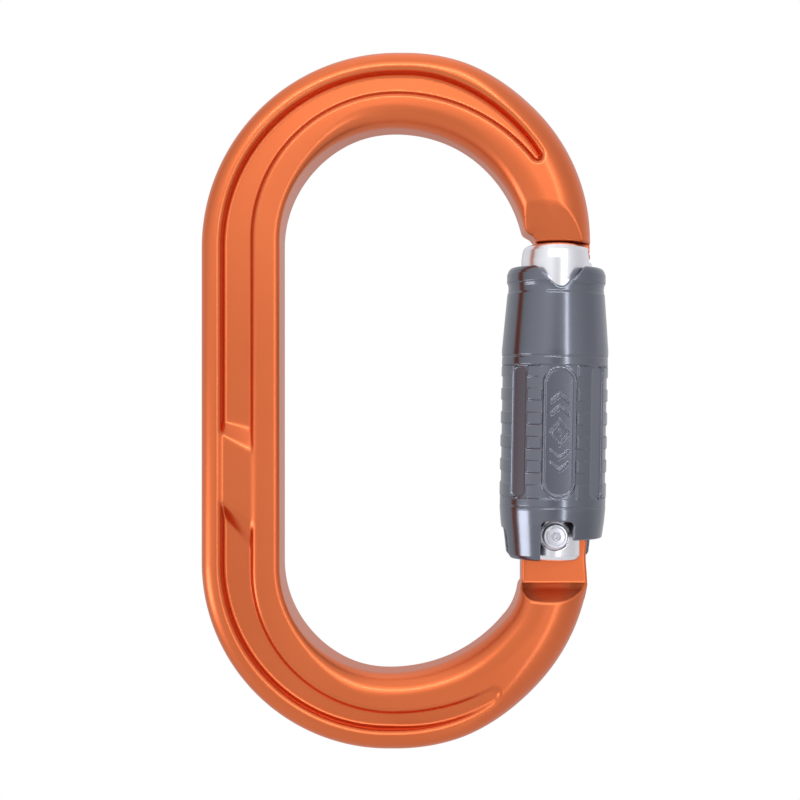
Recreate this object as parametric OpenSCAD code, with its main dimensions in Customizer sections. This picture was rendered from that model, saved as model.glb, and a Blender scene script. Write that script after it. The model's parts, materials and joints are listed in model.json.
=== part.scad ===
// Locking oval carabiner, upright: the ring lies in the XZ plane, +Z is up,
// the front face looks towards -Y and the gate is on the +X side.
// The gate has its own frame: origin on the hinge, +Z along the gate towards the nose.

/* [Frame] */
// Overall height of the forged ring
ring_h = 110.4; // [100:0.2:125]
// Overall width of the forged ring
ring_w = 62; // [56:0.2:70]
// Thickness of the forged ring
ring_t = 11.5; // [10:0.1:13]
// Corner radius at the top left and the bottom right
corner_big = 31; // [28:0.1:31]
// Corner radius at the top right and the bottom left
corner_small = 29.6; // [26:0.1:31]
// Rounding of the outer edges
rim_round = 2.7; // [1:0.1:4]
// Rounding of the inner edges
bore_round = 0.8; // [0.3:0.1:2]

/* [Channel] */
// Depth of the lightening channel on each face
channel_depth = 2; // [0.5:0.1:3]
// Distance from the outer edge to the channel
lip_w = 3.3; // [2.5:0.1:5]

/* [Hinge] */
// Hinge axis, measured across from the ring's centre
hinge_u = 24.95; // [22:0.05:27]
// Hinge axis, measured down from the ring's centre
hinge_drop = 21.35; // [18:0.05:25]
// Outward lean of the gate in degrees
lean = 1; // [0:0.1:3]
// Thickness of the hinge tang
tang_t = 4.4; // [4:0.1:5.2]
// Radius of the rivet's shank
rivet_r = 1.55; // [1.2:0.05:2]
// Radius of the rivet's heads
head_r = 2.05; // [1.8:0.05:2.2]
// Radius from the hinge to the underside of the nose
nose_r = 46.65; // [46:0.05:48]

/* [Gate] */
// Radius of the gate's guide collar
collar_r = 5.63; // [5:0.01:6]
// Radius of the gate's barrel
barrel_r = 4.95; // [4.5:0.01:5.2]
// Height of the gate above the hinge
gate_h = 46.35; // [44:0.05:46.4]
// Radius of the plunger that pushes the gate shut
plunger_r = 1.7; // [1.2:0.05:2]

/* [Sleeve] */
// Largest radius of the locking sleeve
sleeve_r = 8.53; // [8.3:0.01:9]
// Radius of the sleeve's bore
bore_r = 6.6; // [6.3:0.01:6.8]
// Height of the sleeve's rim above the hinge
sleeve_top = 42.55; // [40:0.05:42.6]
// Depth of the sleeve's long skirt below the hinge
skirt_drop = 3.85; // [2:0.05:4.2]
// Half width of the skirt's windows
window_w = 2.5; // [2.4:0.05:3]

/* [Hidden] */
$fn = 96;
half_t = ring_t / 2;
half_w = ring_w / 2;
half_h = ring_h / 2;
// the sleeve overhangs the ring on the right, so the whole part shifts left to be centred
overhang_z = 29.4;
reach = hinge_u + sin(lean) * overhang_z + cos(lean) * sleeve_r;
shift = (half_w - reach) / 2;
// centres of the outer corners, across and up
corner_tl = [-half_w + corner_big, half_h - corner_big];
corner_tr = [half_w - corner_small, half_h - corner_small];
corner_br = [half_w - corner_big, -half_h + corner_big];
corner_bl = [-half_w + corner_small, -half_h + corner_small];
// inner outline: half height, left edge, and the arcs' centres and radii
bore_h = 43.35;
bore_left = -18.45;
bore_tl = [-0.3, 25.2, 18.15];
bore_tr = [-0.3, 22.2, 21.15];
bore_bl = [-1.3, -26.2, 17.15];
bore_br = [-1.3, -18.85, 24.5];
bore_heel = [10.3, -28.54, 9.41];
heel_turn = 39.9;
// inner edge of the channel: arcs' centres and radii
web_tl = [0, 25.7, 22.7];
web_tr = [0, 19.1, 29.3];
web_bl = [-0.6, -26.9, 22.1];
web_br = [0, -14.4, 34.7];
channel_end_top = [22.3, 38.9];
channel_end_low = [16, -46.2];
// raised pad that interrupts the channel on the spine
pad = [[-29, -4.2], [-21, -8.8], [-21, -20.8], [-29, -16.6]];
nose_left = 22.1;
nose_right = 30.8;
shoulder_z = -29;
body_z = -31.3;
tang_left = hinge_u - 5;
tang_right = hinge_u + 5.25;
cam_r = 4.5;
cam_off = 1;
clear = 0.3;
slot_half = tang_t / 2 + 0.25;
slot_top = 5.7;
neck_half = 1.9;
bulb_half = 2.35;
bulb_low = 44.1;
bulb_top = 45.2;
head_seat = 4.4;
head_face = 5.9;
plunger_tip = sqrt(pow(cam_r + plunger_r, 2) - cam_off * cam_off) + 0.05;
plunger_top = 13.5;
spring_bore_top = 24.5;
stop_ring = [24, 24.8];
collar_z = 25.2;
pin_z = 31.5;
pin_r = 0.9;
pin_out = 6.25;
pin_turn = 90;
lift = 3;
twist = 90;
liner_z = [25.1, 38.5];
rim_lip_r = 5.95;
scallop_r = 3.8;
scallop_up = 0.5;
tang_slot_h = 0.8;
liner_bore = collar_r + 0.06;
ledge = [2.9, 5.4];
ledge_bore = barrel_r + 0.06;
washer_t = 0.8;
grip = [6.1, 26.9];
grip_base = 8.3;
band_r = 8.45;
rib_pitch = 3.76;
rib_first = 8.3;
groove_h = 1.7;
panel_mid = 16.4;
panel_len = 20.9;
panel_w = 5.6;
strip_w = 2.6;
strip_turn = 47.5;
sleeve_wire = 0.8;
sleeve_coils = 7;
sleeve_spring_r = 5.8;
plunger_wire = 0.5;
plunger_coils = 8;
plunger_spring_r = 1.35;

// points along an arc, from angle a0 to a1
function arc(cx, cy, r, a0, a1, n) =
    [for (i = [0 : n]) [cx + r * cos(a0 + (a1 - a0) * i / n), cy + r * sin(a0 + (a1 - a0) * i / n)]];

// half section of the ring's outside: solid from the axis out to r, with rounded rims
function rim_profile(r) = concat(
    [[0, -half_t]],
    arc(r - rim_round, -half_t + rim_round, rim_round, -90, 0, 6),
    arc(r - rim_round, half_t - rim_round, rim_round, 0, 90, 6),
    [[0, half_t]]);

// half section of the opening: empty from the axis out to r, flaring over the rounded inner edges
function bore_profile(r) = concat(
    [[0, -half_t - 1], [r + bore_round, -half_t - 1]],
    arc(r + bore_round, -half_t + bore_round, bore_round, -90, -180, 4),
    arc(r + bore_round, half_t - bore_round, bore_round, 180, 90, 4),
    [[r + bore_round, half_t + 1], [0, half_t + 1]]);

// the ring is drawn flat and stood up, and everything moves to the shared centre
module stand() translate([shift, 0, 0]) rotate([90, 0, 0]) children();

// the gate's frame stands on the hinge and leans outwards
module on_hinge() translate([shift + hinge_u, 0, -hinge_drop]) rotate([0, lean, 0]) children();

module corner(centre, start, turn, profile)
    translate([centre[0], centre[1], 0]) rotate([0, 0, start]) rotate_extrude(angle = turn) polygon(profile);

// straight runs of a section, upright on one side and level along one edge
module run_up(side, u, low, high, profile)
    translate([u, side > 0 ? high : low, 0]) rotate([90, 0, side > 0 ? 0 : 180])
        linear_extrude(high - low) polygon(profile);

module run_across(side, v, left, right, profile)
    translate([side > 0 ? left : right, v, 0]) rotate([90, 0, side > 0 ? 90 : -90])
        linear_extrude(right - left) polygon(profile);

module outer_blank() {
    corner(corner_tl, 90, 90, rim_profile(corner_big));
    corner(corner_tr, 0, 90, rim_profile(corner_small));
    corner(corner_br, 270, 90, rim_profile(corner_big));
    corner(corner_bl, 180, 90, rim_profile(corner_small));
    run_across(1, 0, corner_tl[0], corner_tr[0], rim_profile(half_h));
    run_across(-1, 0, corner_bl[0], corner_br[0], rim_profile(half_h));
    run_up(1, 0, corner_br[1], corner_tr[1], rim_profile(half_w));
    run_up(-1, 0, corner_bl[1], corner_tl[1], rim_profile(half_w));
}

// the heel's arc starts early, inside the wider one, so that no sliver is left between them
module opening() {
    corner(bore_tl, 90, 90, bore_profile(bore_tl[2]));
    corner(bore_tr, 0, 90, bore_profile(bore_tr[2]));
    corner(bore_bl, 180, 90, bore_profile(bore_bl[2]));
    corner(bore_br, 270, 90 - heel_turn, bore_profile(bore_br[2]));
    corner(bore_heel, -heel_turn - 4, heel_turn + 4, bore_profile(bore_heel[2]));
    translate([0, 0, -half_t - 1]) linear_extrude(ring_t + 2)
        polygon([[bore_left + 1, bore_bl[1]], [bore_left + 1, bore_tl[1]], [bore_tl[0], bore_h - 1],
                 [5, bore_h - 2], [17.8, bore_tr[1]], [17.8, bore_heel[1]], [12, -32], [bore_br[0], -bore_h + 1],
                 [bore_bl[0], -bore_h + 1]]);
    run_up(-1, bore_left + 10, bore_bl[1], bore_tl[1], bore_profile(10));
    run_up(1, 9.71, bore_heel[1], bore_tr[1], bore_profile(10));
}

// quarter disc from its centre towards the corner (su, sv)
module quarter(c, r, su, sv)
    translate([c[0], c[1]]) intersection() {
        circle(r);
        translate([su < 0 ? -r - 1 : 0, sv < 0 ? -r - 1 : 0]) square(r + 1);
    }

module channel_outline() {
    r_big = corner_big - lip_w;
    r_small = corner_small - lip_w;
    quarter(corner_tl, r_big, -1, 1);
    quarter(corner_tr, r_small, 1, 1);
    quarter(corner_br, r_big, 1, -1);
    quarter(corner_bl, r_small, -1, -1);
    polygon([corner_tl + [-r_big, 0], corner_tl + [0, r_big], corner_tr + [0, r_small], corner_tr + [r_small, 0],
             corner_br + [r_big, 0], corner_br + [0, -r_big], corner_bl + [0, -r_small],
             corner_bl + [-r_small, 0]]);
}

module channel_core() {
    quarter(web_tl, web_tl[2], -1, 1);
    quarter(web_tr, web_tr[2], 1, 1);
    quarter(web_bl, web_bl[2], -1, -1);
    quarter(web_br, web_br[2], 1, -1);
    polygon([[-web_tl[2], web_tl[1]], [0, web_tl[1] + web_tl[2]], [web_tr[2], web_tr[1]],
             [web_br[2], web_br[1]], [0, web_br[1] - web_br[2]], [web_bl[0], web_bl[1] - web_bl[2]],
             [web_bl[0] - web_bl[2], web_bl[1]]]);
}

module channel_plan() {
    difference() {
        channel_outline();
        channel_core();
        polygon(pad);
        polygon([channel_end_top, channel_end_top + [20, 20], [60, 0], channel_end_low + [20, -20],
                 channel_end_low, [0, 0]]);
    }
    translate(channel_end_top) circle(1.05);
    translate(channel_end_low) circle(1.05);
}

// prism along the ring's width, drawn as depth from the mid-plane against height
module across(left, right, points)
    translate([left, 0, 0]) rotate([90, 0, 90]) linear_extrude(right - left) polygon(points);

module both_faces() {
    children();
    mirror([0, 0, 1]) children();
}

module nose_facet()
    across(15, 36, [[24, 3.6], [31.3, half_t + 0.05], [31.3, 9], [20, 9], [20, 3.6]]);

module shoulder_facet()
    across(13, 36, [[-10, tang_t / 2], [shoulder_z, tang_t / 2], [body_z, half_t + 0.05], [body_z, 9], [-10, 9]]);

// ring of revolution about the hinge, drawn as radius against depth
module about_hinge(r0, r1, half)
    translate([hinge_u, -hinge_drop, 0]) rotate([0, 0, 60]) rotate_extrude(angle = 60)
        translate([r0, -half]) square([r1 - r0, 2 * half]);

module nose_tongue() intersection() {
    translate([nose_left, 10, -half_t]) cube([nose_right - nose_left, 30, ring_t]);
    union() {
        about_hinge(bulb_top - 0.1, nose_r + 0.4, neck_half);
        about_hinge(bulb_low, bulb_top, bulb_half);
    }
}

module tang() difference() {
    translate([0, 0, -tang_t / 2]) linear_extrude(tang_t) {
        intersection() {
            translate([tang_left, -hinge_drop - 10]) square([tang_right - tang_left, 20]);
            translate([hinge_u - cam_off, -hinge_drop]) circle(cam_r);
        }
        translate([hinge_u + 1.15, -hinge_drop - 0.6]) circle(4.1);
        translate([tang_left, body_z + 0.3]) square([tang_right - tang_left, -hinge_drop - body_z - 0.9]);
    }
    translate([hinge_u, -hinge_drop, -half_t]) cylinder(r = rivet_r + 0.05, h = ring_t);
}

module body() color([0.86, 0.33, 0.13]) stand() union() {
    difference() {
        outer_blank();
        opening();
        both_faces() translate([0, 0, half_t - channel_depth]) linear_extrude(channel_depth + 1) channel_plan();
        both_faces() nose_facet();
        both_faces() shoulder_facet();
        intersection() {
            translate([hinge_u, -hinge_drop, -10]) cylinder(r = nose_r, h = 20);
            translate([17, shoulder_z, -10]) cube([25, 70, 20]);
        }
        translate([0, 0, -10]) linear_extrude(20)
            polygon([[16, 23], [nose_left, 23], [nose_left, 25.4], [21.2, 26.3], [20.3, 26.7], [19.4, 27.6],
                     [16, 27.6]]);
    }
    nose_tongue();
    tang();
}

module gate() color([0.82, 0.82, 0.85]) on_hinge() difference() {
    rotate_extrude() polygon([[0, -4.1], [4.3, -4.1], [barrel_r, -3.3], [barrel_r, collar_z],
                              [collar_r, collar_z + 0.4], [collar_r, 43.9], [5.2, 45.6], [4.4, gate_h - 0.25],
                              [0, gate_h]]);
    // slot for the tang
    translate([-8, -slot_half, -5]) cube([16, 2 * slot_half, 5 + slot_top]);
    // bore for the plunger and its spring
    translate([0, 0, 4]) cylinder(r = plunger_r + 0.05, h = spring_bore_top - 4);
    // rivet bore and the flats under its heads
    rotate([90, 0, 0]) translate([0, 0, -10]) cylinder(r = rivet_r, h = 20);
    for (s = [-1, 1]) translate([0, s * (head_seat + 2), 0]) rotate([90, 0, 0])
        translate([0, 0, -2]) cylinder(r = head_r + 0.25, h = 4);
    // groove for the retaining ring
    translate([0, 0, stop_ring[0]]) difference() {
        cylinder(r = 8, h = stop_ring[1] - stop_ring[0]);
        translate([0, 0, -1]) cylinder(r = 4.6, h = 3);
    }
    // cross hole for the guide pin
    translate([0, 0, pin_z]) rotate([0, 0, pin_turn]) rotate([90, 0, 0]) cylinder(r = pin_r, h = 8);
    // keyhole slot that closes round the nose
    rotate([90, -lean, 0]) translate([-hinge_u, hinge_drop, 0]) {
        about_hinge(bulb_top + clear - 0.1, 60, neck_half + clear);
        about_hinge(bulb_low - clear, bulb_top + clear, bulb_half + clear);
    }
}

module hinge_rivet() color([0.75, 0.75, 0.78]) on_hinge() rotate([90, 0, 0]) {
    translate([0, 0, -head_seat]) cylinder(r = rivet_r, h = 2 * head_seat);
    for (s = [0, 1]) mirror([0, 0, s]) difference() {
        translate([0, 0, head_seat]) {
            cylinder(r = head_r, h = head_face - head_seat - 0.35);
            translate([0, 0, head_face - head_seat - 0.35]) cylinder(r1 = head_r, r2 = head_r - 0.35, h = 0.35);
        }
        translate([0, 0, head_face - 0.3]) cylinder(r1 = 0.35, r2 = 0.6, h = 0.4);
    }
}

module plunger() color([0.7, 0.7, 0.66]) on_hinge() rotate_extrude() polygon(concat(
    arc(0, plunger_tip, plunger_r, -90, 0, 8),
    [[plunger_r, plunger_top - 0.3], [plunger_r - 0.3, plunger_top], [0, plunger_top]]));

// closed tube swept along a helix
module coil(r, wire, low, high, turns) {
    per_turn = 14;
    sides = 8;
    steps = per_turn * turns;
    rise = (high - low - wire) / steps;
    points = [for (i = [0 : steps], k = [0 : sides - 1])
        let (turn = i * 360 / per_turn, round = k * 360 / sides, reach = r + wire / 2 * cos(round))
        [reach * cos(turn), reach * sin(turn), low + wire / 2 + i * rise + wire / 2 * sin(round)]];
    walls = [for (i = [0 : steps - 1], k = [0 : sides - 1])
        let (a = i * sides + k, b = i * sides + (k + 1) % sides)
        each [[a, b, a + sides], [b, b + sides, a + sides]]];
    first = [for (k = [0 : sides - 1]) sides - 1 - k];
    last = [for (k = [0 : sides - 1]) steps * sides + k];
    polyhedron(points, concat(walls, [first, last]));
}

module plunger_spring() color([0.6, 0.6, 0.62]) on_hinge()
    coil(plunger_spring_r, plunger_wire, plunger_top, spring_bore_top - 0.05, plunger_coils);

module sleeve_spring() color([0.6, 0.6, 0.62]) on_hinge()
    coil(sleeve_spring_r, sleeve_wire, ledge[1] + washer_t, stop_ring[0], sleeve_coils);

// upright stadium on the sleeve's wall, facing a turn from the front
module panel(turn, w, len, r0, r1) rotate([0, 0, turn]) intersection() {
    difference() {
        cylinder(r = r1, h = 60);
        translate([0, 0, -1]) cylinder(r = r0, h = 62);
    }
    translate([0, 0, panel_mid]) rotate([90, 0, 0]) linear_extrude(12) {
        square([w, len - w], center = true);
        for (s = [-1, 1]) translate([0, s * (len - w) / 2]) circle(w / 2, $fn = 48);
    }
}

// wedge of a turn, measured from the front towards +X
module sector(from, to, h)
    rotate([0, 0, from - 90]) rotate_extrude(angle = to - from) square([12, h]);

module rib_columns() intersection() {
    difference() {
        translate([0, 0, grip[0]]) cylinder(r = sleeve_r - 0.02, h = grip[1] - grip[0]);
        cylinder(r = grip_base - 0.2, h = 40);
        for (i = [0 : 4]) translate([0, 0, rib_first + i * rib_pitch]) difference() {
            cylinder(r = 10, h = groove_h);
            translate([0, 0, -1]) cylinder(r = grip_base, h = groove_h + 2);
        }
    }
    for (turn = [0, 180]) {
        sector(turn - 38, turn - 20, 40);
        sector(turn + 20, turn + 38, 40);
        sector(turn + 57, turn + 123, 40);
    }
}

// window open at the bottom, with rounded upper corners
module window_plan(top) {
    translate([-window_w, -8]) square([2 * window_w, 7 + top]);
    translate([-window_w + 0.8, -8]) square([2 * window_w - 1.6, 8 + top]);
    for (s = [-1, 1]) translate([s * (window_w - 1), top - 1]) circle(1, $fn = 32);
}

module sleeve() color([0.36, 0.36, 0.4]) on_hinge() difference() {
    union() {
        rotate_extrude() polygon([[bore_r, -skirt_drop], [7.25, -skirt_drop], [7.7, -3.2], [7.95, -0.5],
                                  [8.47, 4], [band_r, 5.9], [grip_base, grip[0]], [grip_base, grip[1]],
                                  [band_r, grip[1] + 0.1], [band_r, 28.2], [sleeve_r, 28.5], [sleeve_r, 29.4],
                                  [7.86, 37.5], [7.82, 39.2], [7.9, 39.8], [7.9, 41.4],
                                  [7.35, sleeve_top], [rim_lip_r, sleeve_top],
                                  [rim_lip_r, liner_z[1]], [bore_r, liner_z[1]]]);
        rotate_extrude() polygon([[ledge_bore, ledge[0]], [7, ledge[0]], [7, ledge[1]], [ledge_bore, ledge[1]]]);
        rib_columns();
        for (turn = [0, 180]) {
            panel(turn, panel_w, panel_len, 7, sleeve_r - 0.05);
            for (side = [-1, 1]) panel(turn + side * strip_turn, strip_w, panel_len, 7, sleeve_r - 0.12);
        }
    }
    // recessed floors of the front and rear panels
    for (turn = [0, 180]) panel(turn, panel_w - 1.3, panel_len - 1.3, sleeve_r - 0.2, 9);
    // scallops at the front and rear of the rim
    translate([0, 10, sleeve_top + scallop_up]) rotate([90, 0, 0]) cylinder(r = scallop_r, h = 20);
    // front window over the rivet's head, and a lower slot over the tang on the inner side
    rotate([90, 0, 0]) linear_extrude(12) window_plan(2.5);
    rotate([0, 0, -90]) rotate([90, 0, 0]) linear_extrude(12) window_plan(tang_slot_h);
    // short side of the skirt, right of the front window
    translate([0, 0, -6]) sector(15, 120, 5.58);
}

module sleeve_liner() color([0.72, 0.6, 0.3]) on_hinge() difference() {
    translate([0, 0, liner_z[0]]) cylinder(r = bore_r, h = liner_z[1] - liner_z[0]);
    cylinder(r = liner_bore, h = 50);
    // track for the guide pin, as tall as the lift and as wide as the twist
    translate([0, 0, pin_z - lift - pin_r - clear])
        rotate([0, 0, pin_turn - 90 - 12]) rotate_extrude(angle = twist + 24) translate([5, 0])
            square([3, lift + 2 * pin_r + 2 * clear]);
}

module lift_washer() color([0.8, 0.8, 0.78]) on_hinge() translate([0, 0, ledge[1]]) difference() {
    cylinder(r = bore_r - 0.1, h = washer_t);
    translate([0, 0, -1]) cylinder(r = ledge_bore, h = 3);
}

module retaining_ring() color([0.45, 0.45, 0.47]) on_hinge() translate([0, 0, stop_ring[0]]) difference() {
    cylinder(r = 6.25, h = stop_ring[1] - stop_ring[0]);
    translate([0, 0, -1]) cylinder(r = 4.6, h = 3);
    translate([-1.2, 0, -1]) cube([2.4, 8, 3]);
}

module guide_pin() color([0.66, 0.66, 0.68]) on_hinge() translate([0, 0, pin_z])
    rotate([0, 0, pin_turn]) rotate([90, 0, 0]) cylinder(r = pin_r, h = pin_out);

body();
gate();
hinge_rivet();
plunger();
plunger_spring();
sleeve();
sleeve_liner();
lift_washer();
sleeve_spring();
retaining_ring();
guide_pin();
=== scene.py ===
"""Looks of the locking carabiner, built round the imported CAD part.

All pieces but the two springs are grown from distance fields: each field is negative inside
the metal, and its zero surface becomes the mesh. Fields work in millimetres. The ring's field
uses (u, v, w): across, up and out of the front face. The gate's pieces share a frame with its
origin on the hinge, z along the gate and -y to the front.
"""

import json
import math

import bpy
import numpy as np
from mathutils import Matrix, Vector


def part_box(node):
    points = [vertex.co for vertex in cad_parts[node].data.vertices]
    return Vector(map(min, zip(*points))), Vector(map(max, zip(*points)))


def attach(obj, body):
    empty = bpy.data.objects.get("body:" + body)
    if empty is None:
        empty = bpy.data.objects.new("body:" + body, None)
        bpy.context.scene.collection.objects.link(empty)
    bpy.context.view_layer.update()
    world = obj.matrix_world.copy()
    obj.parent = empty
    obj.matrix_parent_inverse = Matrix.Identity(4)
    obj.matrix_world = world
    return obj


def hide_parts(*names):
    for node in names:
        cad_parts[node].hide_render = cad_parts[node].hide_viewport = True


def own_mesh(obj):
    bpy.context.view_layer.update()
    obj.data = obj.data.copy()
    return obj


MM = 0.001

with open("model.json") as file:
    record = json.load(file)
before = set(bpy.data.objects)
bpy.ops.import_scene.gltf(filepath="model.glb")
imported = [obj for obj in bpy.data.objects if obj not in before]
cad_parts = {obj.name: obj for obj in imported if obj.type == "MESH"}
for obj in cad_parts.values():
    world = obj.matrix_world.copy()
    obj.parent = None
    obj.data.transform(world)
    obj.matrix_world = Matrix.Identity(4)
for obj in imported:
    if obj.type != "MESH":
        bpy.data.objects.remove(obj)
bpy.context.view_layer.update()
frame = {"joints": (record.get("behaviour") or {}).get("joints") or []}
joints = {j["name"]: j for j in frame["joints"]}

# ---------------------------------------------------------------- places taken from the frame

ring_low, ring_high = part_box("body")
ring_mid = (ring_low + ring_high) / 2
HALF_W = (ring_high.x - ring_low.x) / 2 / MM
HALF_H = (ring_high.z - ring_low.z) / 2 / MM
HALF_T = (ring_high.y - ring_low.y) / 2 / MM

hinge = Vector(joints["gate_swing"]["pos_m"])
gate_axis = Vector(joints["sleeve_lift"]["axis"]).normalized()
HINGE_U = (hinge.x - ring_mid.x) / MM
HINGE_V = (hinge.z - ring_mid.z) / MM

# the ring's own frame: u along +X, v along +Z, w along -Y
RING_PLACE = Matrix.Translation((ring_mid.x, 0, ring_mid.z)) @ Matrix(
    ((MM, 0, 0, 0), (0, 0, -MM, 0), (0, MM, 0, 0), (0, 0, 0, 1))
)
GATE_PLACE = (
    Matrix.Translation(hinge)
    @ Vector((0, 0, 1)).rotation_difference(gate_axis).to_matrix().to_4x4()
    @ Matrix.Scale(MM, 4)
)

# ---------------------------------------------------------------- distance field tools


def meet(a, b, r):
    """What two shapes share, with their common edge rounded to radius r."""
    round_part = np.hypot(np.maximum(a + r, 0), np.maximum(b + r, 0))
    return np.minimum(-r, np.maximum(a, b)) + round_part


def join(a, b, r):
    """Two shapes together, with a fillet of radius r between them."""
    return -meet(-a, -b, r)


def cut(a, b, r):
    """The first shape without the second, with the edge rounded to radius r."""
    return meet(a, -b, r)


def ease(t):
    """Smooth step from 0 to 1."""
    t = np.clip(t, 0, 1)
    return t * t * (3 - 2 * t)


def box2(x, y, half_x, half_y, r):
    """Distance to a rectangle with rounded corners, centred on the origin."""
    qx = np.abs(x) - half_x + r
    qy = np.abs(y) - half_y + r
    return np.minimum(np.maximum(qx, qy), 0) + np.hypot(np.maximum(qx, 0), np.maximum(qy, 0)) - r


def polygon2(x, y, points):
    """Distance to a closed polygon, negative inside."""
    x, y = np.broadcast_arrays(np.asarray(x, float), np.asarray(y, float))
    nearest = np.full(x.shape, 1e9)
    inside = np.zeros(x.shape, bool)
    for (ax, ay), (bx, by) in zip(points, points[1:] + points[:1]):
        ex, ey = bx - ax, by - ay
        t = np.clip(((x - ax) * ex + (y - ay) * ey) / (ex * ex + ey * ey), 0, 1)
        nearest = np.minimum(nearest, np.hypot(x - ax - t * ex, y - ay - t * ey))
        if ey != 0:
            crosses = (ay > y) != (by > y)
            inside ^= crosses & (x < ax + ex * (y - ay) / ey)
    return np.where(inside, -nearest, nearest)


def gradient(field, p, reach=0.01):
    """Slope of the field at each point."""
    slopes = []
    for k in range(3):
        ahead, behind = p.copy(), p.copy()
        ahead[:, k] += reach
        behind[:, k] -= reach
        slopes.append((field(*ahead.T) - field(*behind.T)) / (2 * reach))
    return np.stack(slopes, axis=1)


def settle(field, p, step, rounds):
    """Moves points along the slope onto the zero surface."""
    for _ in range(rounds):
        slope = gradient(field, p)
        away = field(*p.T) / np.maximum((slope**2).sum(1), 0.05)
        p = p - np.clip(away, -step, step)[:, None] * slope
    return p


def surface_net(field, low, high, step):
    """Points and quads of the zero surface on a regular grid."""
    ticks = [np.arange(a, b + step, step) for a, b in zip(low, high)]
    sparse = np.meshgrid(*ticks, indexing="ij", sparse=True)
    value = np.broadcast_to(field(*sparse), [len(t) for t in ticks]).astype(np.float32)
    filled = value < 0
    size = np.array(filled.shape) - 1

    def corner(grid, offset):
        i, j, k = offset
        return grid[i : i + size[0], j : j + size[1], k : k + size[2]]

    offsets = [(i, j, k) for i in (0, 1) for j in (0, 1) for k in (0, 1)]
    count = sum(corner(filled, o).astype(np.int8) for o in offsets)
    cell = np.stack(np.nonzero((count > 0) & (count < 8)), axis=1)
    number = np.full(size, -1)
    number[tuple(cell.T)] = np.arange(len(cell))

    total = np.zeros((len(cell), 3))
    crossings = np.zeros(len(cell))
    for axis in range(3):
        along = np.eye(3, dtype=int)[axis]
        for start in [o for o in offsets if o[axis] == 0]:
            a = cell + start
            b = a + along
            va, vb = value[tuple(a.T)], value[tuple(b.T)]
            crossed = (va < 0) != (vb < 0)
            t = np.where(crossed, va / np.where(crossed, va - vb, 1), 0)
            total += crossed[:, None] * (np.array(start) + t[:, None] * along)
            crossings += crossed
    points = (cell + total / crossings[:, None]) * step + np.array(low)

    quads = []
    for axis in range(3):
        order = (axis, (axis + 1) % 3, (axis + 2) % 3)
        full, numbers = filled.transpose(order), number.transpose(order)
        first, second = full[:-1, 1:-1, 1:-1], full[1:, 1:-1, 1:-1]
        i, j, k = np.nonzero(first != second)
        outward = first[i, j, k]
        j, k = j + 1, k + 1
        ring = [numbers[i, j - 1, k - 1], numbers[i, j, k - 1], numbers[i, j, k], numbers[i, j - 1, k]]
        quad = np.stack(ring, axis=1)
        quad[~outward] = quad[~outward][:, ::-1]
        quads.append(quad)
    return points, np.concatenate(quads)


def relax(points, quads):
    """Each point moves halfway to the average of its neighbours."""
    total = np.zeros_like(points)
    links = np.zeros(len(points))
    for a, b in ((0, 1), (1, 2), (2, 3), (3, 0)):
        for s, e in ((a, b), (b, a)):
            for k in range(3):
                total[:, k] += np.bincount(quads[:, s], points[quads[:, e], k], len(points))
            links += np.bincount(quads[:, s], minlength=len(points))
    return (points + total / links[:, None]) / 2


def grown(name, field, low, high, step, place):
    """A mesh object of the field's zero surface, with the field's own slopes as normals."""
    points, quads = surface_net(field, low, high, step)
    points = settle(field, points, step, 2)
    for _ in range(2):
        points = settle(field, relax(points, quads), step, 2)
    slope = gradient(field, points)
    normals = slope / np.maximum(np.linalg.norm(slope, axis=1), 1e-9)[:, None]
    turn = np.array(place.to_3x3())
    points = points @ turn.T + np.array(place.translation)
    normals = normals @ turn.T
    normals /= np.linalg.norm(normals, axis=1)[:, None]
    mesh = bpy.data.meshes.new(name)
    mesh.from_pydata(points.tolist(), [], quads.tolist())
    mesh.shade_smooth()
    mesh.normals_split_custom_set_from_vertices(normals.tolist())
    piece = bpy.data.objects.new(name, mesh)
    bpy.context.scene.collection.objects.link(piece)
    return piece


# ---------------------------------------------------------------- the ring

RIM = 2.7
RIM_AT_GATE = 5.2
CORNERS = {(-1, 1): 31.0, (1, 1): 29.6, (1, -1): 31.0, (-1, -1): 29.6}
LIP = 3.3
CHANNEL = 2.0
NOSE_R = 46.65
NOSE_LEFT = 22.1
TANG_HALF = 2.2
PAD_DEPTH = 0.3


def outline(u, v):
    """Distance to the ring's outer outline."""
    best = 0
    for (su, sv), r in CORNERS.items():
        here = ((u >= 0) == (su > 0)) & ((v >= 0) == (sv > 0))
        qu = np.abs(u) - HALF_W + r
        qv = np.abs(v) - HALF_H + r
        d = np.minimum(np.maximum(qu, qv), 0) + np.hypot(np.maximum(qu, 0), np.maximum(qv, 0)) - r
        best = best + np.where(here, d, 0)
    return best


# inner outline: centre across, centre up and radius of each corner's arc
BORE_TL = (-0.3, 25.2, 18.15)
BORE_TR = (-0.3, 22.2, 21.15)
BORE_BL = (-1.3, -26.2, 17.15)
BORE_BR = (-1.3, -18.85, 24.5)
BORE_HEEL = (10.3, -28.54, 9.41)
BORE_LEFT = -18.45
# direction, in degrees, in which the wide lower arc meets the heel's arc
HEEL_START = -39.9


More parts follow.
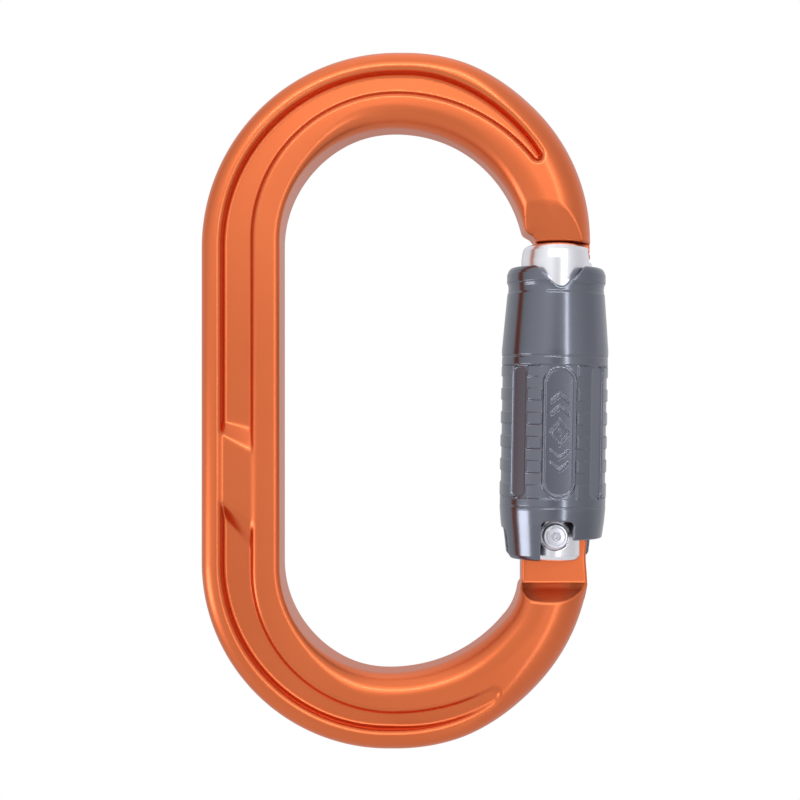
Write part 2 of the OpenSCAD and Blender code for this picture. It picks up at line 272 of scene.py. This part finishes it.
def opening(u, v):
    """Distance to the ring's opening, negative in the hole."""
    left = np.where(v > BORE_TL[1], arc_out(u, v, BORE_TL), BORE_LEFT - u)
    left = np.where(v < BORE_BL[1], arc_out(u, v, BORE_BL), left)
    heel_right = BORE_HEEL[0] + BORE_HEEL[2]
    right = np.where(v > BORE_TR[1], arc_out(u, v, BORE_TR), u - heel_right)
    right = np.where(v < BORE_HEEL[1], arc_out(u, v, BORE_HEEL), right)
    turn = np.arctan2(v - BORE_BR[1], u - BORE_BR[0])
    wide = (turn < math.radians(HEEL_START)) & (v < BORE_HEEL[1])
    right = np.where(wide, arc_out(u, v, BORE_BR), right)
    top_side = np.where(u < BORE_TL[0], left, right)
    low_side = np.where(u < BORE_BL[0], left, right)
    return np.where(v > 0, top_side, low_side)


def arc_out(u, v, arc):
    """Distance outside an arc's full circle."""
    return np.hypot(u - arc[0], v - arc[1]) - arc[2]


# inner edge of the channel, in the same form
WEB_TL = (0.0, 25.7, 22.7)
WEB_TR = (0.0, 20.9, 27.5)
WEB_BL = (-0.6, -26.9, 22.1)
WEB_BR = (-0.6, -14.4, 34.6)
TIP_TOP = (23.4, 38.5)
TIP_LOW = (16.0, -46.2)
TIP_R = 1.05


def web(u, v):
    """Distance to the region inside the channel."""
    left = np.where(v > WEB_TL[1], arc_out(u, v, WEB_TL), -WEB_TL[2] - u)
    left = np.where(v < WEB_BL[1], arc_out(u, v, WEB_BL), left)
    right = np.where(v > WEB_TR[1], arc_out(u, v, WEB_TR), u - WEB_TR[2])
    right = np.where(v < WEB_BR[1], arc_out(u, v, WEB_BR), right)
    return np.where(u < np.where(v > 0, WEB_TL[0], WEB_BL[0]), left, right)


# slanted edges of the pad's ramps: a point across and up, and the slope
CREST_HIGH = (-27.6, -5.2, -0.606)
START_HIGH = (-27.2, -3.5, -0.22)
CREST_LOW = (-27.5, -15.9, -0.68)
END_LOW = (-27.2, -18.4, -1.2)
SHORTEST_RAMP = 0.4
RAMP_SOFTNESS = 0.12


def height_at(u, edge):
    """Height of a slanted edge above a place across the ring."""
    across, up, slope = edge
    return up + slope * (u - across)


def channel_depth(u, v):
    """Depth of the channel's floor, which rises to the pad on the spine."""
    crest_high = height_at(u, CREST_HIGH)
    crest_low = height_at(u, CREST_LOW)
    above = (v - crest_high) / np.maximum(height_at(u, START_HIGH) - crest_high, SHORTEST_RAMP)
    below = (crest_low - v) / np.maximum(crest_low - height_at(u, END_LOW), SHORTEST_RAMP)
    share = np.maximum(above, below)
    # a clip to 0..1 with rounded corners
    share = (1 + np.hypot(share, RAMP_SOFTNESS) - np.hypot(share - 1, RAMP_SOFTNESS)) / 2
    return PAD_DEPTH + (CHANNEL - PAD_DEPTH) * share


NOSE_FACET_TOP = 31.2
NOSE_FACET_SLOPE = 0.34


def nose_facet(u, v, w, crown):
    """Slanted flat on the nose, cut from each crowned face."""
    # the upper edge bends down towards the rim
    top = NOSE_FACET_TOP - 0.03 * np.maximum(u - 22.5, 0) ** 2
    drop = (top - v) * NOSE_FACET_SLOPE
    return np.maximum(HALF_T - crown - drop - w, np.maximum(15 - u, 15 - v))


def shoulder(v, w):
    """What is cut away above the tang's faces: a gentle slope, then a steep wall."""
    gentle = (TANG_HALF + 0.65 * (-28.8 - v) - w) * 0.84
    steep = (TANG_HALF + 0.65 + 1.4 * (-29.7 - v) - w) * 0.58
    return meet(meet(TANG_HALF - w, gentle, 0.5), steep, 0.25)


def beak(u, v):
    """Notch under the inner tip of the nose."""
    return polygon2(u, v, [(14, 22), (NOSE_LEFT, 22), (NOSE_LEFT, 25.5), (21.6, 26.1), (20.9, 26.5),
                           (20.3, 26.75), (19.7, 27.4), (14, 27.4)])


def channel(u, v, w, rim):
    """The channel with drafted walls and rounded tips."""
    # the lip widens towards the upper tip
    lip = LIP + 1.0 * ease((u - 2) / 18) * (v > 0)
    walls = np.maximum(rim + lip, -web(u, v))
    past_top = np.maximum((u - TIP_TOP[0]) * 0.62 - (v - TIP_TOP[1]) * 0.78, -v)
    past_low = np.maximum((u - TIP_LOW[0]) * 0.94 + (v - TIP_LOW[1]) * 0.34, v)
    ends = np.where(u > 5, np.where(v > 0, past_top, past_low), u - 20)
    walls = meet(walls, ends, TIP_R) + 0.16 * (HALF_T - w)
    floor = HALF_T - channel_depth(u, v) - w
    return meet(walls, floor, 0.45)


TONGUE_MID = 26.45
TONGUE_HALF = 4.35
NECK_HALF = 1.9
BULB_HALF = 2.35
# distances from the hinge to the middles of the neck and the bulb
NECK_R = 46.4
BULB_R = 44.65


def tongue(u, w, to_hinge):
    """The tongue under the nose, held by the gate's keyhole slot."""
    neck = meet(w - NECK_HALF, box2(u - TONGUE_MID, to_hinge - NECK_R, TONGUE_HALF, 1.3, 0.3), 0.2)
    bulb = meet(w - BULB_HALF, box2(u - TONGUE_MID, to_hinge - BULB_R, TONGUE_HALF, 0.55, 0.3), 0.2)
    return np.minimum(neck, bulb)


def tang(u, v, w):
    """A plate with a rounded top."""
    cam = np.hypot(u - HINGE_U + 1, v - HINGE_V) - 4.5
    nub = np.hypot(u - HINGE_U - 1.15, v - HINGE_V + 0.6) - 4.1
    # the stem's outer side runs out to meet the ring's rim
    spread = 0.07 * np.maximum(-25.5 - v, 0)
    stem = box2(u - HINGE_U - 0.125 - spread / 2, v + 27, 5.125 + spread / 2, 4.6, 0.6)
    plate = join(np.minimum(cam, nub), stem, 0.6)
    return meet(plate, w - TANG_HALF, 0.45)


# how far the face's fall towards the opening reaches across the ring
CROWN_REACH = 4.6
HINGE_HOLE_R = 1.6


def ring_field(u, v, w):
    w = np.abs(w)
    rim = outline(u, v)
    hole = join(opening(u, v), beak(u, v), 0.5)
    right = ease((u + 5) / 22)
    near_gate = ease((u - 9) / 14)
    # the face falls away towards the opening, more so near the gate
    crown = (0.15 + 0.8 * right) * np.clip((CROWN_REACH - hole) / CROWN_REACH, 0, 1) ** 2
    # the opening's edge is tight along the spine and broad round the rest
    soft_edge = 0.9 + 2.4 * ease((u + 18) / 14) - 1.3 * near_gate
    solid = meet(rim, w - HALF_T + crown, RIM + (RIM_AT_GATE - RIM) * near_gate)
    solid = meet(solid, -hole, soft_edge)
    solid = cut(solid, channel(u, v, w, rim), 0.75)
    solid = cut(solid, nose_facet(u, v, w, crown), 0.15)
    to_hinge = np.hypot(u - HINGE_U, v - HINGE_V)
    under_nose = np.maximum(to_hinge - NOSE_R, np.maximum(-29.1 - v, 17 - u))
    solid = cut(solid, under_nose, 0.35)
    solid = cut(solid, np.maximum(shoulder(v, w), np.maximum(13 - u, v + 10)), 0.3)
    solid = join(solid, tongue(u, w, to_hinge), 0.2)
    solid = join(solid, np.maximum(tang(u, v, w), rim + 0.25), 0.3)
    return np.maximum(solid, HINGE_HOLE_R - to_hinge)


# ---------------------------------------------------------------- the sleeve

SLEEVE_TOP = 42.55
SKIRT_LOW = -3.85
BORE = 6.6
RIM_BORE = 5.95
# outer radius against height
SLEEVE_PROFILE = [(-3.85, 7.25), (-3.2, 7.62), (-0.5, 7.95), (2.0, 8.28), (4.0, 8.45), (4.52, 8.46),
                  (4.65, 8.37), (4.8, 8.45), (5.9, 8.45), (6.05, 8.35), (26.85, 8.35), (27.0, 8.48),
                  (28.1, 8.48), (28.3, 8.36), (28.5, 8.52), (29.4, 8.52), (33.5, 8.2), (37.6, 7.86),
                  (38.3, 7.8), (38.6, 7.67), (39.3, 7.63), (39.9, 7.73), (40.15, 7.9), (41.4, 7.9),
                  (42.0, 7.7), (42.55, 7.35)]
# where the bore narrows to the rim's
RIM_BORE_LOW = 38.5
# radius at which arc lengths on the wall are measured
WALL_R = 8.3
GRIP_WALL = 8.35
GRIP_MID = 16.4
GRIP_HALF = 10.45
GROOVES = [9.15 + 3.76 * i for i in range(5)]
GROOVE_HALF = 0.85
# from the sleeve's axis to the milled flats
FACET_FLAT = 8.2
FACET_TURN = 47
# columns of ribs: direction in degrees from the front and half width
COLUMNS = ((-28, 1.25), (28, 1.25), (152, 1.25), (208, 1.25), (90, 4.8), (-90, 4.8))
RIB_HEIGHT = 0.17
LINE_HEIGHT = 0.28


def unrolled(x, y, turn):
    """Arc length along the sleeve's wall from a direction turned from the front towards +x."""
    angle = np.arctan2(x, -y) - math.radians(turn)
    return (np.mod(angle + math.pi, 2 * math.pi) - math.pi) * WALL_R


def plateau(distance, slope):
    """1 well inside a shape and 0 outside it, with a bevel of that width."""
    return ease(-distance / slope)


def mix(a, b, share):
    """From a to b as share goes from 0 to 1."""
    return a * (1 - share) + b * share


def grip(x, y, z):
    """Height of the ribs, facets and panels above the sleeve's wall, negative where they are sunk."""
    height = np.zeros(np.broadcast(x, y, z).shape)
    grooves = 1e9
    for level in GROOVES:
        grooves = np.minimum(grooves, np.abs(z - level) - GROOVE_HALF)
    # two columns of blocks beside each panel, and a wide one on each side
    for turn, half in COLUMNS:
        column = box2(unrolled(x, y, turn), z - GRIP_MID, half, GRIP_HALF, 0.25)
        height = np.maximum(height, RIB_HEIGHT * plateau(meet(column, -grooves, 0.08), 0.18))
    for turn in (0, 180):
        # milled flats beyond the blocks, with a raised line round the far side
        for side in (-1, 1):
            t = unrolled(x, y, turn + side * FACET_TURN) * side
            facet = box2(t, z - GRIP_MID, 1.4, GRIP_HALF - 0.1, 1.0)
            flat = FACET_FLAT / np.cos(np.clip(t / WALL_R, -0.4, 0.4)) - GRIP_WALL
            height = mix(height, flat, plateau(facet, 0.2))
            line = np.maximum(np.abs(facet - 0.1) - 0.22, 0.1 - t)
            height = mix(height, LINE_HEIGHT, plateau(line, 0.2))
        # stadium panel, nearly flat, with a raised border
        s = unrolled(x, y, turn)
        panel = box2(s, z - GRIP_MID, 2.8, GRIP_HALF, 2.79)
        border = np.abs(panel + 0.4) - 0.3
        flat = 0.05 * s**2 - 0.2 + 0.12 * plateau(border, 0.2) + 0.14 * panel_marks(s, z)
        height = mix(height, flat, plateau(panel, 0.3))
    return height


def panel_marks(s, z):
    """Raised chevrons and a diamond on the panel, which carry no lettering."""
    mark = 0
    for level, way in ((20.4, 1), (12.4, -1)):
        for k in (0, 1):
            tip = (z - level) * way - 1.9 * k + np.abs(s) * 0.8
            chevron = np.maximum(np.abs(tip) * 0.78 - 0.3, np.abs(s) - 1.5)
            mark = np.maximum(mark, plateau(chevron, 0.2))
    diamond = (np.abs(s) + np.abs(z - GRIP_MID) * 0.8 - 1.5) * 0.75
    mark = np.maximum(mark, plateau(np.abs(diamond) - 0.22, 0.2))
    return np.maximum(mark, plateau(diamond + 0.8, 0.2))


def skirt_cuts(x, y, z):
    """The windows and the short side of the skirt, negative where metal is cut away."""
    front = np.maximum(box2(x, z + 4, 2.5, 6.5, 0.7), y)
    inner = np.maximum(box2(y, z + 5, 2.5, 5.8, 0.9), x)
    turn = np.degrees(np.arctan2(x, -y))
    side = (np.abs(turn - 67.5) - 52.5) * 0.13
    short = np.maximum(z + 0.42, side)
    return np.minimum(np.minimum(front, inner), short)


def sleeve_field(x, y, z):
    r = np.hypot(x, y)
    levels, radii = zip(*SLEEVE_PROFILE)
    radius = np.interp(z, levels, radii) + grip(x, y, z)
    ends = np.maximum(z - SLEEVE_TOP, SKIRT_LOW - z)
    solid = meet(r - radius, ends, 0.3)
    bore = np.where(z > RIM_BORE_LOW, RIM_BORE, BORE)
    ledge = box2(r - 5.9, z - 4.15, 0.89, 1.25, 0.15)
    hollow = np.maximum(r - bore, -ledge)
    solid = cut(solid, hollow, 0.2)
    scallop = (SLEEVE_TOP - 3.25 + np.hypot(1.35 * x, 2.4) - 2.4 - z) * 0.65
    solid = cut(solid, scallop, 0.3)
    return cut(solid, skirt_cuts(x, y, z), 0.25)


# ---------------------------------------------------------------- the gate

GATE_PROFILE = [(-4.1, 4.6), (-3.2, 4.95), (24.6, 4.95), (25.6, 5.63), (43.9, 5.63), (45.3, 5.45),
                (46.3, 5.0)]
GATE_LOW = -4.1
GATE_TOP_R = 46.3
# the slot round the tang
SLOT_HALF = 2.45
SLOT_TOP = 5.7
PLUNGER_BORE = 1.75
RIVET_HOLE = 1.55
# the keyhole slot: half widths round the neck and the bulb, where the neck's part starts,
# half the height of the bulb's part, and how far it runs past the axis on the inner side
KEY_NECK_HALF = 2.2
KEY_BULB_HALF = 2.65
KEY_NECK_LOW = 45.4
KEY_BULB_REACH = 0.85
KEY_INNER = 3.4


def gate_field(x, y, z):
    r = np.hypot(x, y)
    levels, radii = zip(*GATE_PROFILE)
    # the top follows an arc about the hinge, so that it clears the nose all through the swing
    ends = np.maximum(np.hypot(x, z) - GATE_TOP_R, GATE_LOW - z)
    solid = meet(r - np.interp(z, levels, radii), ends, 0.45)
    slot = np.maximum(np.abs(y) - SLOT_HALF, z - SLOT_TOP)
    solid = cut(solid, slot, 0.2)
    bore = np.maximum(r - PLUNGER_BORE, np.maximum(z - 24.5, 4 - z))
    solid = cut(solid, bore, 0.1)
    solid = np.maximum(solid, RIVET_HOLE - np.hypot(x, z))
    heads = np.maximum(np.hypot(x, z) - 2.3, 4.4 - np.abs(y))
    solid = cut(solid, heads, 0.1)
    groove = np.maximum(np.abs(z - 24.4) - 0.4, 4.6 - r)
    solid = cut(solid, groove, 0.05)
    # keyhole slot round the tongue, on arcs about the hinge, open to the outer side only
    from_hinge = np.hypot(x, z)
    neck = np.maximum(np.abs(y) - KEY_NECK_HALF, KEY_NECK_LOW - from_hinge)
    bulb = np.maximum(np.abs(y) - KEY_BULB_HALF, np.abs(from_hinge - BULB_R) - KEY_BULB_REACH)
    keyhole = np.maximum(np.minimum(neck, bulb), np.maximum(30 - z, -KEY_INNER - x))
    return cut(solid, keyhole, 0.2)


# ---------------------------------------------------------------- the small pieces

RIVET_SHANK_R = 1.55
RIVET_HEAD_R = 2.05
RIVET_SEAT = 4.4
RIVET_CROWN = 5.9
PLUNGER_R = 1.7
PLUNGER_TIP = 6.169
PLUNGER_END = 13.5
PIN_R = 0.9
PIN_REACH = 6.25
PIN_HEIGHT = 31.5
# rings of rectangular section: middle radius, middle height, half width, half height, edge
WASHER = (5.755, 5.8, 0.745, 0.4, 0.1)
RETAINER = (5.425, 24.4, 0.825, 0.4, 0.12)
LINER = (6.145, 31.8, 0.455, 6.7, 0.12)


def band(x, y, z, section):
    """Distance to a ring of rectangular section about the z axis."""
    radius, height, half_width, half_height, edge = section
    return box2(np.hypot(x, y) - radius, z - height, half_width, half_height, edge)


def rivet_field(x, y, z):
    reach = np.hypot(x, z)
    side = np.abs(y)
    shank = np.maximum(reach - RIVET_SHANK_R, side - 5)
    dome = side - RIVET_CROWN + 0.035 * reach**2
    head = meet(meet(reach - RIVET_HEAD_R, dome, 0.28), RIVET_SEAT - side, 0.05)
    dimple = np.abs(reach - 0.62) - 0.1
    ring_mark = np.abs(reach - 1.5) - 0.05
    dent = np.minimum(dimple, ring_mark)
    head = cut(head, np.maximum(dent, 5.78 - side), 0.06)
    eye = np.maximum(reach - 0.3, 5.7 - side)
    head = cut(head, eye, 0.08)
    return np.minimum(shank, head)


def plunger_field(x, y, z):
    r = np.hypot(x, y)
    body = np.maximum(r - PLUNGER_R, PLUNGER_TIP - z)
    ball = np.hypot(r, z - PLUNGER_TIP) - PLUNGER_R
    return meet(np.minimum(body, ball), z - PLUNGER_END, 0.3)


def washer_field(x, y, z):
    return band(x, y, z, WASHER)


def retainer_field(x, y, z):
    gap = np.maximum(np.abs(x) - 1.2, -y)
    return cut(band(x, y, z, RETAINER), gap, 0.15)


def liner_field(x, y, z):
    turn = np.degrees(np.arctan2(y, x))
    # the pin's window, as wide as the twist and as tall as the lift
    across = (np.abs(turn - 45) - 57) * 0.11
    track = meet(across, np.abs(z - 30) - 2.7, 0.4)
    return cut(band(x, y, z, LINER), track, 0.08)


def pin_field(x, y, z):
    across = np.hypot(y, z - PIN_HEIGHT)
    return meet(across - PIN_R, np.maximum(x - PIN_REACH, -x), 0.15)


def coil(name, radius, wire, low, high, turns, place):
    """A helix of round wire with a closed turn ground flat at each end."""
    steps, sides = 40 * turns, 14
    t = np.linspace(0, 1, steps + 1)
    turn = t * turns * 2 * math.pi
    closed = 0.5 / turns
    rise = np.clip((t - closed) / (1 - 2 * closed), 0, 1)
    height = low + wire / 2 + rise * (high - low - wire)
    points = []
    for a, h in zip(turn, height):
        for k in range(sides):
            b = 2 * math.pi * k / sides
            reach = radius + wire / 2 * math.cos(b)
            points.append((reach * math.cos(a), reach * math.sin(a), h + wire / 2 * math.sin(b)))
    faces = []
    for i in range(steps):
        for k in range(sides):
            n = (k + 1) % sides
            faces.append((i * sides + k, (i + 1) * sides + k, (i + 1) * sides + n, i * sides + n))
    faces.append(tuple(range(sides)))
    faces.append(tuple(steps * sides + k for k in reversed(range(sides))))
    mesh = bpy.data.meshes.new(name)
    mesh.from_pydata([place @ Vector(p) for p in points], [], faces)
    mesh.shade_smooth()
    piece = bpy.data.objects.new(name, mesh)
    bpy.context.scene.collection.objects.link(piece)
    return piece


# ---------------------------------------------------------------- materials

DRIFT_SCALE = 45
GRAIN_SCALE = 5200
ROUGH_SPREAD = 0.04


def new_material(name):
    material = bpy.data.materials.new(name)
    material.use_nodes = True
    nodes = material.node_tree.nodes
    return material, nodes, material.node_tree.links, nodes["Principled BSDF"]


def metal(name, dark, light, rough, bump=0.1, coat=0.0):
    """Metal whose colour drifts softly, with a fine grain in its roughness and its bump."""
    material, nodes, links, shader = new_material(name)
    place = nodes.new("ShaderNodeTexCoord")
    drift = nodes.new("ShaderNodeTexNoise")
    drift.inputs["Scale"].default_value = DRIFT_SCALE
    drift.inputs["Detail"].default_value = 3
    links.new(place.outputs["Object"], drift.inputs["Vector"])
    tint = nodes.new("ShaderNodeValToRGB")
    tint.color_ramp.elements[0].position = 0.3
    tint.color_ramp.elements[1].position = 0.7
    tint.color_ramp.elements[0].color = (*dark, 1)
    tint.color_ramp.elements[1].color = (*light, 1)
    links.new(drift.outputs["Fac"], tint.inputs["Fac"])
    links.new(tint.outputs["Color"], shader.inputs["Base Color"])
    fine_noise = nodes.new("ShaderNodeTexNoise")
    fine_noise.inputs["Scale"].default_value = GRAIN_SCALE
    fine_noise.inputs["Detail"].default_value = 3
    links.new(place.outputs["Object"], fine_noise.inputs["Vector"])
    spread = nodes.new("ShaderNodeMapRange")
    spread.inputs["To Min"].default_value = rough - ROUGH_SPREAD
    spread.inputs["To Max"].default_value = rough + ROUGH_SPREAD
    links.new(fine_noise.outputs["Fac"], spread.inputs["Value"])
    links.new(spread.outputs["Result"], shader.inputs["Roughness"])
    dents = nodes.new("ShaderNodeBump")
    dents.inputs["Strength"].default_value = bump
    dents.inputs["Distance"].default_value = 0.00002
    links.new(fine_noise.outputs["Fac"], dents.inputs["Height"])
    links.new(dents.outputs["Normal"], shader.inputs["Normal"])
    shader.inputs["Metallic"].default_value = 1
    shader.inputs["Coat Weight"].default_value = coat
    shader.inputs["Coat Roughness"].default_value = 0.12
    return material


orange = metal("orange_anodised", (0.68, 0.15, 0.048), (0.73, 0.168, 0.056), 0.36, coat=0.25)
grey = metal("grey_anodised", (0.152, 0.163, 0.2), (0.166, 0.177, 0.217), 0.2, coat=0.25)
silver = metal("clear_anodised", (0.8, 0.8, 0.86), (0.83, 0.83, 0.88), 0.25, bump=0.04, coat=0.2)
rivet_steel = metal("rivet_steel", (0.6, 0.61, 0.68), (0.66, 0.67, 0.73), 0.32)
plain_steel = metal("plain_steel", (0.55, 0.55, 0.56), (0.63, 0.63, 0.64), 0.3)
wire_steel = metal("spring_steel", (0.35, 0.35, 0.37), (0.45, 0.45, 0.47), 0.3)
brass = metal("liner_brass", (0.66, 0.5, 0.22), (0.75, 0.6, 0.3), 0.28)

# ---------------------------------------------------------------- pieces


def dressed(piece, material, body, slot, *nodes):
    """Finish, body and the CAD nodes that a piece stands for; the slot argument is not used."""
    piece.data.materials.append(material)
    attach(piece, body)
    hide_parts(*nodes)
    return piece


# grid steps in millimetres, coarser while working
ring_step = 0.26
gate_step = 0.2
sleeve_step = 0.19

ring_reach = (HALF_W + 0.6, HALF_H + 0.6, HALF_T + 0.5)
ring = grown("ring", ring_field, [-r for r in ring_reach], ring_reach, ring_step, RING_PLACE)
dressed(ring, orange, "frame", "orange_anodised", "body")

# name, field, low and high corners, grid step, material, body, slot and CAD node
GATE_PIECES = (
    ("gate_bar", gate_field, (-6.3, -6.3, -4.7), (6.3, 6.3, 47), gate_step,
     silver, "gate", "clear_anodised", "gate"),
    ("lock_sleeve", sleeve_field, (-9.2, -9.2, -4.5), (9.2, 9.2, 43.2), sleeve_step,
     grey, "sleeve", "grey_anodised", "sleeve"),
    ("rivet", rivet_field, (-2.5, -6.4, -2.5), (2.5, 6.4, 2.5), 0.08,
     rivet_steel, "gate", "rivet_steel", "hinge_rivet"),
    ("gate_plunger", plunger_field, (-2.2, -2.2, 4), (2.2, 2.2, 14), 0.15,
     plain_steel, "plunger", "plain_steel", "plunger"),
    ("sleeve_washer", washer_field, (-7, -7, 5), (7, 7, 6.6), 0.12,
     plain_steel, "lift_carrier", "plain_steel", "lift_washer"),
    ("snap_ring", retainer_field, (-7, -7, 23.6), (7, 7, 25.2), 0.12,
     wire_steel, "gate", "spring_steel", "retaining_ring"),
    ("sleeve_bush", liner_field, (-7, -7, 24.6), (7, 7, 39), 0.16,
     brass, "sleeve", "liner_brass", "sleeve_liner"),
    ("track_pin", pin_field, (-0.5, -1.3, 30.2), (6.7, 1.3, 32.8), 0.1,
     plain_steel, "gate", "plain_steel", "guide_pin"),
)
for name, field, low, high, step, material, body, slot, node in GATE_PIECES:
    dressed(grown(name, field, low, high, step, GATE_PLACE), material, body, slot, node)

big_coil = coil("return_coil", 5.8, 0.8, 6.2, 24, 7, GATE_PLACE)
dressed(big_coil, wire_steel, "gate", "spring_steel", "sleeve_spring")
small_coil = coil("plunger_coil", 1.35, 0.5, 13.5, 24.45, 8, GATE_PLACE)
dressed(small_coil, wire_steel, "gate", "spring_steel", "plunger_spring")
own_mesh(big_coil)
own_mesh(small_coil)

# ---------------------------------------------------------------- camera, floor and light

CAMERA_BACK = 0.22
# width of the view at the ring
VIEW_WIDTH = 0.12892
SENSOR = 36

camera = bpy.data.objects.new("camera", bpy.data.cameras.new("camera"))
bpy.context.scene.collection.objects.link(camera)
camera.location = (-0.001, -CAMERA_BACK, 0.0001)
camera.rotation_euler = (math.radians(90), 0, 0)
camera.data.sensor_width = SENSOR
camera.data.lens = SENSOR * CAMERA_BACK / VIEW_WIDTH
camera.data.clip_start = 0.01
bpy.context.scene.camera = camera
bpy.context.scene.view_settings.view_transform = "Standard"


def floor_material():
    material, nodes, links, shader = new_material("studio_floor")
    place = nodes.new("ShaderNodeTexCoord")
    mottle = nodes.new("ShaderNodeTexNoise")
    mottle.inputs["Scale"].default_value = 4
    links.new(place.outputs["Object"], mottle.inputs["Vector"])
    tint = nodes.new("ShaderNodeValToRGB")
    tint.color_ramp.elements[0].color = (0.7, 0.7, 0.7, 1)
    tint.color_ramp.elements[1].color = (0.73, 0.73, 0.73, 1)
    links.new(mottle.outputs["Fac"], tint.inputs["Fac"])
    links.new(tint.outputs["Color"], shader.inputs["Base Color"])
    shader.inputs["Roughness"].default_value = 0.7
    return material


bpy.ops.mesh.primitive_circle_add(vertices=96, radius=0.9, fill_type="NGON", location=(0, 0, -0.36))
floor = bpy.context.object
floor.name = "floor"
floor.data.materials.append(floor_material())


def soft_box(name, place, aim, width, height, watts):
    """A rectangular area light aimed at a point."""
    lamp = bpy.data.objects.new(name, bpy.data.lights.new(name, "AREA"))
    bpy.context.scene.collection.objects.link(lamp)
    lamp.data.shape = "RECTANGLE"
    lamp.data.size = width
    lamp.data.size_y = height
    lamp.data.energy = watts
    lamp.location = place
    lamp.rotation_euler = (Vector(aim) - Vector(place)).to_track_quat("-Z", "Y").to_euler()


soft_box("top_box", (0, -0.52, 0.3), (0, 0, 0), 0.5, 0.04, 0.8)
# a tall narrow box just right of the camera draws the bright line down the gate and the sleeve
soft_box("tall_box", (0.22, -0.56, 0), (0, 0, 0), 0.06, 0.6, 0.45)
# a low one on the left lights the sleeve's skirt
soft_box("low_box", (-0.526, -0.168, -0.16), (0, 0, 0), 0.26, 0.14, 0.5)


def ramp(nodes, stops):
    """A grey colour ramp from (position, level) stops."""
    node = nodes.new("ShaderNodeValToRGB")
    marks = node.color_ramp.elements
    while len(marks) < len(stops):
        marks.new(0.5)
    for mark, (position, level) in zip(marks, stops):
        mark.position = position
        mark.color = (level, level, level, 1)
    return node


# brightness of the room against the turn from the camera's side: 0 behind on the left,
# 0.5 at the camera, 1 behind on the right
AROUND = [(0.0, 0.8), (0.25, 0.68), (0.33, 0.95), (0.42, 1.0), (0.47, 0.8), (0.5, 0.74), (0.52, 0.86),
          (0.56, 0.88), (0.62, 0.84), (0.7, 0.74), (0.8, 0.74), (1.0, 0.8)]
# against the angle away from the camera: 0 at the camera, 1 straight behind the object
AWAY = [(0.0, 0.76), (0.045, 0.76), (0.08, 0.93), (0.115, 1.0), (0.2, 0.93), (0.35, 0.85), (0.48, 0.85),
        (0.58, 1.0), (0.75, 1.0), (1.0, 0.6)]
# against height: 0 straight down, 0.5 level, 1 straight up
UPWARD = [(0.0, 0.36), (0.22, 0.34), (0.42, 0.48), (0.5, 0.5), (0.7, 0.5), (0.88, 0.54), (1.0, 0.8)]
ROOM_STRENGTH = 2.2


def studio_world():
    """White to the camera. What the metal reflects is a room of soft cards, set by direction."""
    world = bpy.data.worlds.new("studio")
    bpy.context.scene.world = world
    world.use_nodes = True
    nodes, links = world.node_tree.nodes, world.node_tree.links
    nodes.clear()

    def math_node(kind, *values):
        node = nodes.new("ShaderNodeMath")
        node.operation = kind
        for socket, value in zip(node.inputs, values):
            if isinstance(value, (int, float)):
                socket.default_value = value
            else:
                links.new(value, socket)
        return node.outputs["Value"]

    def level(value, stops):
        node = ramp(nodes, stops)
        links.new(value, node.inputs["Fac"])
        return node.outputs["Color"]

    place = nodes.new("ShaderNodeTexCoord")
    parts = nodes.new("ShaderNodeSeparateXYZ")
    links.new(place.outputs["Generated"], parts.inputs["Vector"])
    front = math_node("MULTIPLY", parts.outputs["Y"], -1)
    turn = math_node("ARCTAN2", parts.outputs["X"], front)
    share = math_node("MULTIPLY_ADD", turn, 0.5 / math.pi, 0.5)
    away = math_node("MULTIPLY", math_node("ARCCOSINE", front), 1 / math.pi)
    height = math_node("MULTIPLY_ADD", parts.outputs["Z"], 0.5, 0.5)
    light = math_node("MULTIPLY", level(share, AROUND), level(away, AWAY))
    light = math_node("MULTIPLY", light, level(height, UPWARD))
    room = nodes.new("ShaderNodeBackground")
    room.inputs["Strength"].default_value = ROOM_STRENGTH
    links.new(light, room.inputs["Color"])
    seen = nodes.new("ShaderNodeBackground")
    seen.inputs["Color"].default_value = (1, 1, 1, 1)
    path = nodes.new("ShaderNodeLightPath")
    chosen = nodes.new("ShaderNodeMixShader")
    links.new(path.outputs["Is Camera Ray"], chosen.inputs["Fac"])
    links.new(room.outputs["Background"], chosen.inputs[1])
    links.new(seen.outputs["Background"], chosen.inputs[2])
    out = nodes.new("ShaderNodeOutputWorld")
    links.new(chosen.outputs["Shader"], out.inputs["Surface"])


studio_world()
